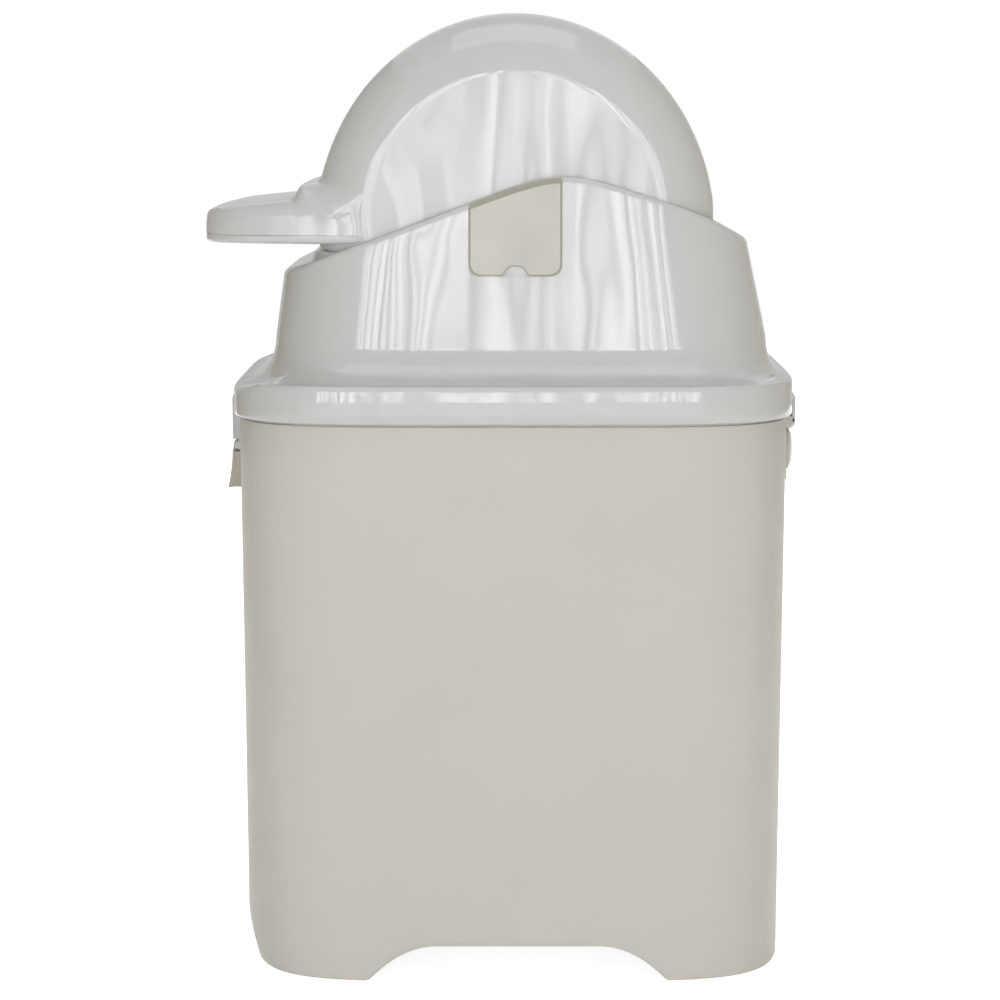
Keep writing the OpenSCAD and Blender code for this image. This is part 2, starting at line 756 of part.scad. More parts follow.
module screw_holes(z, t) {
    at_seal_screws() translate([0, 0, z - 1]) cylinder(r = screw_r + 0.2, h = t + 2);
}

module hood_seal() {
    color(rubber_grey) centred() difference() {
        flat_ring(
            shroud_points(seal_z + seal_t, head_wall + seat_gap), drum_outline(seal_drop, seat_gap), seal_z, seal_t
        );
        screw_holes(seal_z, seal_t);
    }
}

module seal_retainer() {
    color(white) centred() difference() {
        flat_ring(
            shroud_points(retainer_z + retainer_t, head_wall + seat_gap), drum_outline(seal_drop, 1.5),
            retainer_z, retainer_t
        );
        screw_holes(retainer_z, retainer_t);
    }
}

module retainer_screws() {
    color(steel) centred() at_seal_screws() {
        translate([0, 0, retainer_z - 2]) cylinder(r = 2*screw_r, h = 2);
        translate([0, 0, retainer_z - 0.5]) cylinder(r = screw_r, h = seal_boss_z + screw_bite - 0.5 - retainer_z);
    }
}

// The pivots: a bush in each side wall, a bush in each side of the hood, a clip through both
module ring_rod(outer, inner, y0, y1) {
    difference() {
        y_rod(outer, y0, y1);
        y_rod(inner, y0 - 1, y1 + 1);
    }
}

module pivot_bush() {
    color(pale_taupe) centred() translate([0, 0, axle_z]) difference() {
        union() {
            y_rod(pivot_bush_r, hood_w/2 + 0.4, wall_y - 2.2);
            y_rod(pivot_boss_r - 0.4, hood_w/2 + 0.4, pivot_face);
        }
        y_rod(spigot_r + run_fit, hood_w/2 - 1, wall_y);
    }
}
module pivot_bush_near() { mirror([0, 1, 0]) pivot_bush(); }
module pivot_bush_far() { pivot_bush(); }

module pivot_clip() {
    step = 0.5;
    color(pearl) centred() mirror([0, 1, 0]) difference() {
        union() {
            wall_plane() difference() {
                union() {
                    translate([0, 0, -clip_back]) linear_extrude(clip_t - step) clip_outline(0, 0.3);
                    translate([0, 0, clip_t - clip_back - step - 0.01]) linear_extrude(step + 0.01)
                        clip_outline(-0.4, 2.6);
                }
                translate([0, 0, -2*clip_t]) linear_extrude(4*clip_t) notch_outline();
            }
            translate([0, 0, axle_z]) y_rod(spigot_r, -wall_y + 0.2, -hub_in - 3);
        }
        translate([0, 0, axle_z]) y_rod(spigot_r - 2, -wall_y + 3, -hub_in);
    }
}
module pivot_clip_near() { mirror([0, 1, 0]) pivot_clip(); }
module pivot_clip_far() { pivot_clip(); }

module hub_bush() {
    color(pale_taupe) centred() translate([0, 0, axle_z]) difference() {
        union() {
            y_rod(hub_bush_r, hub_in, hood_w/2);
            y_rod(hub_r - 1, hub_in - 1.5, hub_in);
        }
        y_rod(spigot_r + run_fit, hub_in - 2, hood_w/2 + 1);
    }
}
module hub_bush_near() { mirror([0, 1, 0]) hub_bush(); }
module hub_bush_far() { hub_bush(); }

// The hood: a drum wall open at the bottom, a disc at each side, and a hollow handle
module drum_profile(inset) {
    square([disc_r, hood_w/2 - inset]);
    square([hood_r - inset, drum_flat]);
    translate([disc_r, drum_flat]) circle(r = hood_round - inset);
}
module half_profile(inset) {
    intersection() {
        drum_profile(inset);
        square([hood_r, hood_w/2]);
    }
}
module full_profile(inset) {
    half_profile(inset);
    mirror([0, 1]) half_profile(inset);
}
module drum(inset) {
    translate([0, 0, axle_z]) rotate([90, 0, 0]) rotate_extrude($fn = 96) full_profile(inset);
}

module drum_wall() {
    translate([0, 0, axle_z]) rotate([90, 0, 0]) rotate([0, 0, -hood_over])
        rotate_extrude(angle = 180 + 2*hood_over, $fn = 96) difference() {
            full_profile(0);
            full_profile(hood_wall);
            translate([-1, -hood_w]) square([disc_r, 2*hood_w]);
        }
}

// The handle's side profile, between its underside and its step onto the dome
function handle_side(inset, low) =
    let (top = axle_z - handle_drop + handle_t, tip = -handle_x + inset)
        [
            [tip, low], [tip, top - 2.5], [tip + 2.5, top + 0.7 - inset], [tip + 12, top + 3.2 - inset],
            [-hood_r - 14, top + 7.5 - inset], [-hood_r - 10, top + 13.5 - inset],
            [-hood_r - 1, top + 20 - inset], [-disc_r, top + 20 - inset], [-disc_r, low]
        ];
module handle_plan(inset) {
    r = handle_round;
    y = handle_root_b - handle_taper - r;
    x = -handle_x + r;
    for (s = [-1, 1]) translate([x, s*y]) circle(r = r - inset);
    polygon([
        [x, -y - r + inset], [-hood_r, -handle_root_b + inset], [-disc_r, -handle_root_b + inset],
        [-disc_r, handle_root_b - inset], [-hood_r, handle_root_b - inset], [x, y + r - inset]
    ]);
    translate([x - r + inset, -y]) square([r, 2*y]);
}
module handle_block(inset, low) {
    intersection() {
        translate([0, 0, low]) linear_extrude(hood_r) handle_plan(inset);
        across(-hood_w/2, hood_w/2) polygon(handle_side(inset, low));
    }
}

handle_skin = 2.6;
handle_seam = handle_low + under_t + seat_gap;
handle_screw_at = [[-(hood_r + 0.68*handle_l), 62], [-(hood_r + 0.24*handle_l), 82]];
module at_handle_screws() {
    both_sides() for (p = handle_screw_at) translate([p.x, p.y, 0]) children();
}

module hood_shell() {
    boss_r = 3.6;
    color(white) centred() difference() {
        union() {
            difference() {
                handle_block(0, handle_seam);
                difference() {
                    translate([0, 0, -handle_skin]) handle_block(handle_skin, handle_seam);
                    at_handle_screws() translate([0, 0, handle_low]) cylinder(r = boss_r, h = 2*handle_t);
                }
                drum(hood_wall/2);
            }
            drum_wall();
            both_sides() translate([0, 0, axle_z]) {
                y_rod(disc_r, hood_w/2 - hood_wall, hood_w/2);
                y_rod(hub_r, hub_in, hood_w/2 - hood_wall/2);
            }
        }
        both_sides() translate([0, 0, axle_z]) y_rod(hub_bush_r + 0.02, hub_in - 1, hood_w/2 + 1);
        at_handle_screws() translate([0, 0, handle_seam - 1]) cylinder(r = screw_r + run_fit, h = screw_bite + 1);
    }
}

module handle_underplate() {
    color(white) centred() difference() {
        intersection() {
            translate([0, 0, handle_low]) linear_extrude(under_t) handle_plan(0.6);
            across(-hood_w/2, hood_w/2) polygon(handle_side(0.6, handle_low));
        }
        drum(-seat_gap);
        at_handle_screws() {
            translate([0, 0, handle_low - 1]) cylinder(r = screw_r + 0.2, h = under_t + 2);
            translate([0, 0, handle_low - 1]) cylinder(r = 2*screw_r + 0.3, h = 3.2);
        }
    }
}

module handle_screws() {
    color(steel) centred() at_handle_screws() {
        translate([0, 0, handle_low + 0.3]) cylinder(r = 2*screw_r, h = 1.9);
        translate([0, 0, handle_low + 2]) cylinder(r = screw_r, h = handle_seam + screw_bite - 0.5 - handle_low - 2);
    }
}

bin_body();
foot_ring();
bag_ring();
latch_bracket();
latch_bracket_screws();
latch_pin();
latch_spring();
latch_flap();
hinge_bracket();
hinge_bracket_screws();
hinge_pin();
release_button();
button_spring();
head_shell();
rim_gasket();
hood_seal();
seal_retainer();
retainer_screws();
pivot_bush_near();
pivot_bush_far();
pivot_clip_near();
pivot_clip_far();
hood_shell();
hub_bush_near();
hub_bush_far();
handle_underplate();
handle_screws();
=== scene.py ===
# A free-standing nappy bin on a pale floor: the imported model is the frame, and its visible
# shells, clips, latch and button are replaced by finer pieces of the same places and sizes.
import math

import bmesh
import bpy
import numpy as np
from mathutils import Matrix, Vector


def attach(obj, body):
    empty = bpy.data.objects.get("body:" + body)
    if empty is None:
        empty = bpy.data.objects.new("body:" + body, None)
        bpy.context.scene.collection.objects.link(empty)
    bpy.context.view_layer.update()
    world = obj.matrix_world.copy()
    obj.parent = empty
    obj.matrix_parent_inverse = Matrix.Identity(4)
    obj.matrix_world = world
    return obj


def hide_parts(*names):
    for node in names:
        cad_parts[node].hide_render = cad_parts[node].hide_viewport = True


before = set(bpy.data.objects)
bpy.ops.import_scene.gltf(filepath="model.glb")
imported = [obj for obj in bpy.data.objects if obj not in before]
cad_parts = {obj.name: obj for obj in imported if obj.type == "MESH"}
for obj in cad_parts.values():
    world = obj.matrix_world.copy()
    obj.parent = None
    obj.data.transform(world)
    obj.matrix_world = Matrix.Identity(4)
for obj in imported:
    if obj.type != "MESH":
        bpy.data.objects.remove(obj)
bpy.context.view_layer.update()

MM = 0.001

# Sizes in millimetres. X and Y are measured from the hood's axle line unless a name says body, and a
# name that ends in _N is the exponent of a rounded square. Lean angles are in degrees.
X_SHIFT, BODY_LEAD = 4.85, 1.0

# Body and foot
BODY_L, BODY_W, BODY_H, BODY_N = 302.4, 290.0, 302.3, 5.2
BODY_WALL, BODY_DRAFT, BODY_EDGE = 2.6, 2.0, 0.8
FRONT_TUCK, TUCK_H = 5.0, 26.0
FLOOR_H, FLOOR_T = 22.0, 3.0
ARCH_H, ARCH_L, ARCH_W, ARCH_RUN, ARCH_EDGE = 19.5, 164.0, 150.0, 38.0, 0.9
LEDGE_Z, LEDGE_IN = BODY_H - 16.0, 3.0
BODY_TOP, LIP_CUT = BODY_H + 3.8, 1.2

# Rim and flare
SEAM_Z = BODY_H + 1.2
RIM_TOP = SEAM_Z + 20.0
FLARE_TOP = RIM_TOP + 19.5
FRONT_DIP, DIP_FROM, DIP_RUN = 4.5, 0.86, 0.12
RIM_EDGE_R, HEAD_WALL = 3.0, 2.5
RIM_A, RIM_B = BODY_L/2 + 3, BODY_W/2 + 3
GASKET_RIB_Z, GASKET_RIB_H = BODY_TOP + 3.3, 2.4

# Hood, with the oval that draws its arch
HOOD_R, HOOD_W, HOOD_ROUND, HOOD_WALL, HOOD_OVER = 107.7, 220.0, 32.0, 2.6, 36.0
OVAL_X, OVAL_Z, OVAL_LOW = 108.7, 118.2, 10.5
AXLE_Z = BODY_H + 109.2
DISC_R, DRUM_FLAT = HOOD_R - HOOD_ROUND, HOOD_W/2 - HOOD_ROUND
SPIGOT_R, HUB_BORE, HUB_R, HUB_IN = 7.0, 10.02, 12.5, HOOD_W/2 - 20
PIVOT_BORE, BOSS_R = 9.05, 11.8

# Shroud, crest and deck
FRONT_LEAN, REAR_LEAN, SIDE_LEAN = 8.0, 12.0, 4.5
WALL_Y = HOOD_W/2 + 7.1
SHROUD_N, SHROUD_X, SHROUD_A = 4.6, 3.4, HOOD_R + 28.9
SHROUD_B = WALL_Y + math.tan(math.radians(SIDE_LEAN))*(AXLE_Z - FLARE_TOP)
CREST_RISE, CREST_X, FRONT_SLOPE, REAR_SLOPE, CREST_BLEND = 25.3, 24.2, 0.375, 0.31, 6.2
REAR_DROP, CORNER_SLOPE, CORNER_BLEND = 14.5, 0.6, 3.2
ROLL_R, DECK_T, LIP_H = 3.2, 2.6, 4.0
OPEN_A, OPEN_B, OPEN_N, OPEN_X = HOOD_R + 0.5, HOOD_W/2 + 2.5, 7.5, 0.9

# Pivot clips
CLIP_W, CLIP_DROP, CLIP_ROUND, CLIP_T, CLIP_BACK, POCKET = 49.0, 31.5, 6.0, 1.5, 1.0, 1.2
NOTCH_W, NOTCH_H = 14.0, 5.0

# Handle
HANDLE_L, HANDLE_DROP, HANDLE_T, HANDLE_ROUND, UNDER_T = 61.6, 15.3, 17.3, 26.0, 4.2
HANDLE_X, HANDLE_LOW = HOOD_R + HANDLE_L, AXLE_Z - HANDLE_DROP
HANDLE_SEAM, SEAM_GAP = HANDLE_LOW + UNDER_T + 0.3, 0.12
HANDLE_ROOT, HANDLE_TAPER, HANDLE_CROWN = HOOD_W/2 - 6, 8.0, 0.7
EDGE_DEPTH, EDGE_BREADTH, TIP_R, UNDER_EDGE = 8.0, 12.0, 3.2, 2.2
ROOT_ANGLE, BEND_FROM, KNEE_UP = math.radians(166), -HOOD_R - 15, 15.2
UNDER_END, UNDER_DROP, UNDER_CLEAR = -80.5, 13.0, 0.3
SCREW_R, SCREW_HEAD, SCREW_SEAT = 1.7, 3.3, HANDLE_LOW + 2.2
HANDLE_SCREWS = [(-(HOOD_R + 0.68*HANDLE_L), 62), (-(HOOD_R + 0.24*HANDLE_L), 82)]

# Latch, hinge and button
TAB_W, TAB_T, PIN_R, CHEEK = 46.0, 1.8, 1.3, 1.8
LATCH_X, LATCH_Z, LATCH_R = -(BODY_L/2 + 5.1), BODY_H - 24.3, 3.0
HINGE_X, HINGE_Z, HINGE_R = BODY_L/2 + 5.8, BODY_H - 11.0, 3.6
KNUCKLE_W, FLAP_H, FLAP_FLARE, FLAP_T = 18.0, 24.0, 2.8, 2.4
BUTTON_H, BUTTON_LONG, COLLAR = 19.0, 14.0, 1.2
BUTTON_Z = HINGE_Z - HINGE_R - BUTTON_H/2 - 3.2
BUTTON_FACE, BUTTON_BACK = HINGE_X + HINGE_R - 0.5, BODY_L/2 + 4.7

# Columns around a rounded square, closer together at its corners
COLS = 576
STEPS = np.arange(COLS)*360/COLS
AROUND = np.radians(STEPS + 6*np.sin(np.radians(4*STEPS)))


# Geometry helpers
def mix(a, b, t):
    return a + (b - a)*t


def smooth(t):
    """Zero to one with soft ends."""
    c = np.clip(t, 0, 1)
    return c*c*(3 - 2*c)


def soft_min(a, b, k):
    """The lower of two heights, with their meeting rounded over about k."""
    return a - k*np.logaddexp(0, (a - b)/k)


def tan(degrees):
    return math.tan(math.radians(degrees))


def outline(front, rear, half_w, n, x=0.0):
    """A rounded square seen from above, as X and Y in each column."""
    c, s = np.cos(AROUND), np.sin(AROUND)
    a = np.where(c < 0, front, rear)
    r = (np.abs(c/a)**n + np.abs(s/half_w)**n)**(-1/n)
    return np.stack([r*c + x, r*s], 1)


def at(line, z):
    """Points of X and Y lifted to one height, or each to its own."""
    return np.column_stack([line, np.broadcast_to(z, len(line))])


def loft(rings, caps=False):
    """Quads between rings of equal length, with caps on both ends or else back to the first ring."""
    rings = [np.asarray(r, float) for r in rings]
    n, m = len(rings[0]), len(rings)
    faces = []
    for j in range(m - 1 if caps else m):
        a, b = j*n, ((j + 1) % m)*n
        faces += [(a + i, a + (i + 1) % n, b + (i + 1) % n, b + i) for i in range(n)]
    if caps:
        faces.append(tuple(reversed(range(n))))
        faces.append(tuple((m - 1)*n + i for i in range(n)))
    return np.concatenate(rings), faces


def join(*parts):
    """Several solids as one list of points and one list of faces."""
    points, faces, base = [], [], 0
    for p, f in parts:
        points.append(np.asarray(p, float))
        faces += [tuple(i + base for i in face) for face in f]
        base += len(p)
    return np.concatenate(points), faces


def mirrored(part):
    """The same solid on the far side."""
    return part[0]*np.array([1, -1, 1]), [tuple(reversed(f)) for f in part[1]]


def moved(part, dx):
    return part[0] + np.array([dx, 0, 0]), part[1]


def tube(outer, inner, y0, y1, x, z, edge=0.4, sides=64):
    """A ring-shaped rod along Y, with small rounded edges."""
    a = np.linspace(0, 2*math.pi, sides, endpoint=False)
    rows = [(outer, y0 + edge), (outer, y1 - edge), (outer - edge, y1), (inner + edge, y1),
            (inner, y1 - edge), (inner, y0 + edge), (inner + edge, y0), (outer - edge, y0)]
    return loft([np.stack([x + r*np.cos(a), np.full(sides, y), z + r*np.sin(a)], 1) for r, y in rows])


def rod(radius, y0, y1):
    """A plain round rod on the axle line."""
    a = np.radians(np.arange(0, 360, 6))
    ends = [np.stack([radius*np.cos(a), np.full(len(a), y), AXLE_Z + radius*np.sin(a)], 1) for y in (y0, y1)]
    return loft(ends, caps=True)


def prism(profile, y0, y1, edge):
    """A side profile of X and Z drawn across Y, with every edge rounded."""
    bm = bmesh.new()
    near = [bm.verts.new((x, y0, z)) for x, z in profile]
    far = [bm.verts.new((x, y1, z)) for x, z in profile]
    n = len(profile)
    bm.faces.new(near)
    bm.faces.new(far[::-1])
    for i in range(n):
        bm.faces.new((near[i], far[i], far[(i + 1) % n], near[(i + 1) % n]))
    bmesh.ops.recalc_face_normals(bm, faces=bm.faces)
    bends = [e for e in bm.edges if e.calc_face_angle(0) > math.radians(20)]
    bmesh.ops.bevel(bm, geom=bends, offset=edge, segments=3, profile=0.5, affect="EDGES", clamp_overlap=True)
    bm.verts.ensure_lookup_table()
    bm.verts.index_update()
    points = np.array([v.co[:] for v in bm.verts])
    faces = [tuple(v.index for v in f.verts) for f in bm.faces]
    bm.free()
    return points, faces


def rounded(points, radii, steps=5):
    """An open line of X and Z whose inner corners are replaced by smooth bends."""
    out = [points[0]]
    for i in range(1, len(points) - 1):
        a, b, c = (np.array(points[k], float) for k in (i - 1, i, i + 1))
        r = min(radii[i - 1], 0.49*np.linalg.norm(a - b), 0.49*np.linalg.norm(c - b))
        p, q = b + (a - b)*r/np.linalg.norm(a - b), b + (c - b)*r/np.linalg.norm(c - b)
        out += [tuple((1 - t)**2*p + 2*t*(1 - t)*b + t*t*q) for t in np.linspace(0, 1, steps)]
    return out + [points[-1]]


def mesh_object(name, part):
    """A mesh in metres from millimetres measured from the axle line."""
    points = (part[0] + np.array([X_SHIFT, 0, 0]))*MM
    mesh = bpy.data.meshes.new(name)
    mesh.from_pydata(points.tolist(), [], part[1])
    bm = bmesh.new()
    bm.from_mesh(mesh)
    bmesh.ops.recalc_face_normals(bm, faces=bm.faces)
    bm.to_mesh(mesh)
    bm.free()
    obj = bpy.data.objects.new(name, mesh)
    bpy.context.scene.collection.objects.link(obj)
    return obj


def cut(obj, *cutters):
    """Takes closed solids away from an object."""
    tool = mesh_object("cutter", join(*cutters))
    mod = obj.modifiers.new("cut", "BOOLEAN")
    mod.operation, mod.solver, mod.object = "DIFFERENCE", "EXACT", tool
    bpy.context.view_layer.update()
    shaped = bpy.data.meshes.new_from_object(obj.evaluated_get(bpy.context.evaluated_depsgraph_get()))
    obj.modifiers.remove(mod)
    obj.data = shaped
    bpy.data.objects.remove(tool)


def piece(obj, body, nodes, slot, *materials, sharp=40):
    """Shades a piece, gives it its materials and says what it rides on and replaces."""
    obj.data.shade_smooth()
    obj.data.set_sharp_from_angle(angle=math.radians(sharp))
    obj.data.materials.clear()
    for m in materials:
        obj.data.materials.append(m)
    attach(obj, body)
    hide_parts(*nodes)


# Materials
def new_material(name):
    m = bpy.data.materials.new(name)
    m.use_nodes = True
    tree = m.node_tree
    return m, tree, tree.nodes["Principled BSDF"]


def noise(tree, coords, scale, detail, stretch=(1, 1, 1)):
    mapping = tree.nodes.new("ShaderNodeMapping")
    mapping.inputs["Scale"].default_value = stretch
    tree.links.new(coords.outputs["Object"], mapping.inputs["Vector"])
    n = tree.nodes.new("ShaderNodeTexNoise")
    n.inputs["Scale"].default_value = scale
    n.inputs["Detail"].default_value = detail
    tree.links.new(mapping.outputs["Vector"], n.inputs["Vector"])
    return n


def spread(tree, source, low, high, half=0.2):
    """Stretches a noise's middle values over a range."""
    r = tree.nodes.new("ShaderNodeMapRange")
    r.inputs["From Min"].default_value, r.inputs["From Max"].default_value = 0.5 - half, 0.5 + half
    r.inputs["To Min"].default_value, r.inputs["To Max"].default_value = low, high
    tree.links.new(source, r.inputs["Value"])
    return r.outputs["Result"]


def moulded(name, colour, other, rough, grain, wave=None, specular=0.5, metallic=0.0):
    """Moulded plastic or plated steel: two close colours in soft clouds, fine grain, uneven gloss."""
    m, tree, shader = new_material(name)
    coords = tree.nodes.new("ShaderNodeTexCoord")
    cloud = noise(tree, coords, 14, 3)
    blend = tree.nodes.new("ShaderNodeMix")
    blend.data_type = "RGBA"
    blend.inputs["A"].default_value = (*colour, 1)
    blend.inputs["B"].default_value = (*other, 1)
    tree.links.new(spread(tree, cloud.outputs["Fac"], 0, 1), blend.inputs["Factor"])
    tree.links.new(blend.outputs["Result"], shader.inputs["Base Color"])
    uneven = noise(tree, coords, 60, 4)
    tree.links.new(spread(tree, uneven.outputs["Fac"], rough*0.9, rough*1.1), shader.inputs["Roughness"])
    shader.inputs["Specular IOR Level"].default_value = specular
    shader.inputs["Metallic"].default_value = metallic
    fine = noise(tree, coords, grain[0], 2)
    bump = tree.nodes.new("ShaderNodeBump")
    bump.inputs["Strength"].default_value = grain[1]
    bump.inputs["Distance"].default_value = 0.0004
    tree.links.new(fine.outputs["Fac"], bump.inputs["Height"])
    last = bump
    if wave:
        slow = noise(tree, coords, wave[0], 2, (1, 1, 0.35))
        swell = tree.nodes.new("ShaderNodeBump")
        swell.inputs["Strength"].default_value = wave[1]
        swell.inputs["Distance"].default_value = 0.002
        tree.links.new(slow.outputs["Fac"], swell.inputs["Height"])
        tree.links.new(bump.outputs["Normal"], swell.inputs["Normal"])
        last = swell
    tree.links.new(last.outputs["Normal"], shader.inputs["Normal"])
    return m


taupe = moulded("taupe_satin", (0.55, 0.534, 0.51), (0.565, 0.548, 0.524), 0.42, (1400, 0.10), specular=0.2)
white = moulded("white_gloss", (0.53, 0.534, 0.54), (0.545, 0.549, 0.555), 0.05, (700, 0.01), (14, 0.7),
                specular=0.45)
satin_white = moulded("white_satin", (0.68, 0.68, 0.67), (0.71, 0.71, 0.70), 0.4, (1400, 0.08), specular=0.4)
pale = moulded("pale_satin", (0.84, 0.79, 0.735), (0.86, 0.81, 0.755), 0.34, (1400, 0.08), specular=0.4)
flap = moulded("flap_satin", (0.42, 0.39, 0.345), (0.44, 0.41, 0.36), 0.36, (1400, 0.08), specular=0.35)
# Pearl for the clips: the wide spread between its two cloud colours is partly the plastic's own tone and
# partly a painted sheen gradient across the clip's face.
pearl = moulded("pearl_gloss_painted_sheen", (0.38, 0.37, 0.33), (0.50, 0.475, 0.435), 0.2, (2200, 0.05), specular=0.45)
# A darker pearl for the clip plate's bevelled edge all round: painted shade on that bevel.
pearl_edge_painted_shade = moulded("pearl_edge_painted_shade", (0.33, 0.32, 0.27), (0.35, 0.335, 0.285), 0.3, (2200, 0.05), specular=0.4)
bush = moulded("bush_plastic", (0.66, 0.65, 0.62), (0.70, 0.69, 0.66), 0.45, (1200, 0.06))
rubber = moulded("soft_rubber", (0.06, 0.058, 0.055), (0.075, 0.072, 0.07), 0.7, (1800, 0.2), specular=0.3)
steel = moulded("plated_steel", (0.56, 0.56, 0.57), (0.62, 0.62, 0.63), 0.28, (2500, 0.08), metallic=1.0)
dark_steel = moulded("browned_steel", (0.22, 0.21, 0.20), (0.27, 0.26, 0.24), 0.45, (2500, 0.08),
                     metallic=1.0)

NODE_MATERIALS = (
    (satin_white, ("bag_ring", "seal_retainer")),
    (taupe, ("latch_bracket", "hinge_bracket")),
    (rubber, ("rim_gasket", "hood_seal")),
    (bush, ("pivot_bush_near", "pivot_bush_far", "hub_bush_near", "hub_bush_far")),
    (steel, ("latch_bracket_screws", "hinge_bracket_screws", "retainer_screws", "handle_screws")),
    (steel, ("latch_spring", "button_spring")),
    (dark_steel, ("latch_pin", "hinge_pin")),
)
for material, nodes in NODE_MATERIALS:
    for node in nodes:
        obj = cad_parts[node]
        if not obj.material_slots:
            obj.data.materials.append(material)
        for s in obj.material_slots:
            s.material = material


# Bin body
def body_ring(z, inset):
    """The body's outline at a height, drafted and tucked in at the front foot."""
    z = np.broadcast_to(z, COLS)
    back = inset + BODY_DRAFT*(1 - np.minimum(1, z/BODY_H))
    tuck = FRONT_TUCK*np.maximum(0, 1 - z/TUCK_H)**1.5
    return at(outline(BODY_L/2 - back - tuck, BODY_L/2 - back, BODY_W/2 - back, BODY_N), z)


def arch(u, width):
    """The height of a foot arch at a distance from its middle."""
    s = np.clip((np.abs(u) - (width/2 - ARCH_RUN))/ARCH_RUN, 0, 1)
    return np.where(np.abs(u) < width/2, ARCH_H*(1 - s*s), 0)


def bin_body():
    """One closed shell: under the floor, down to the arches, up outside, and down inside to the floor."""
    foot = body_ring(0, 0)
    low = np.maximum(arch(foot[:, 0] - FRONT_TUCK/2, ARCH_L), arch(foot[:, 1], ARCH_W))
    w, e, top, even = BODY_WALL, ARCH_EDGE, FLOOR_H + FLOOR_T, 60
    rings = [body_ring(FLOOR_H, w + 1), body_ring(FLOOR_H - 1, w)]
    rings += [body_ring(low + 0.4, w), body_ring(low, w - 0.4)]
    rings += [body_ring(low + e*(1 - math.sin(a)), e*(1 - math.cos(a))) for a in np.radians([90, 60, 30, 0])]
    rings += [body_ring(mix(low + e, even, f), 0) for f in np.linspace(0, 1, 15)[1:]]
    rings += [body_ring(z, 0) for z in np.linspace(even, BODY_H - BODY_EDGE, 9)[1:]]
    rings += [body_ring(BODY_H - BODY_EDGE*(1 - math.sin(a)), BODY_EDGE*(1 - math.cos(a)))
              for a in np.radians([30, 60, 90])]
    rings += [
        body_ring(BODY_H, LIP_CUT), body_ring(BODY_TOP - 0.3, LIP_CUT), body_ring(BODY_TOP, LIP_CUT + 0.3),
        body_ring(BODY_TOP, w - 0.3), body_ring(BODY_TOP - 0.3, w), body_ring(LEDGE_Z + 0.2, w),
        body_ring(LEDGE_Z, w + LEDGE_IN - 0.2), body_ring(LEDGE_Z - 0.4, w + LEDGE_IN),
        body_ring(LEDGE_Z - 3, w + LEDGE_IN), body_ring(LEDGE_Z - 9, w), body_ring(top + 5, w),
        body_ring(top + 2.2, w + 0.8), body_ring(top + 0.7, w + 2.4), body_ring(top, w + 5),
    ]
    return moved(loft(rings, caps=True), -BODY_LEAD)


shell = mesh_object("bin_shell", bin_body())
piece(shell, "bin", ["bin_body", "foot_ring"], "taupe_plastic", taupe, sharp=50)


# Head
def crest(x):
    """The height of the shroud's top edge: two slopes to a blunt peak, and a steeper rear corner."""
    peak = AXLE_Z + CREST_RISE
    corner_x = SHROUD_X + SHROUD_A - tan(REAR_LEAN)*(AXLE_Z - REAR_DROP - FLARE_TOP)
    corner = AXLE_Z - REAR_DROP + CORNER_SLOPE*(corner_x - x)
    peaked = soft_min(peak + FRONT_SLOPE*(x - CREST_X), peak - REAR_SLOPE*(x - CREST_X), CREST_BLEND)
    return soft_min(peaked, corner, CORNER_BLEND)


def rim_points(inset):
    return outline(RIM_A - inset, RIM_A - inset, RIM_B - inset, BODY_N, -BODY_LEAD)


def shroud_points(z, inset):
    h = z - FLARE_TOP
    return outline(SHROUD_A - tan(FRONT_LEAN)*h - inset, SHROUD_A - tan(REAR_LEAN)*h - inset,
                   SHROUD_B - tan(SIDE_LEAN)*h - inset, SHROUD_N, SHROUD_X)


def rim_top_at(p):
    """The rim's top, which dips along the front."""
    return RIM_TOP - FRONT_DIP*smooth((-p[:, 0]/RIM_A - DIP_FROM)/DIP_RUN)


def rim_ring(inset, below):
    p = rim_points(inset)
    return at(p, rim_top_at(p) - below)


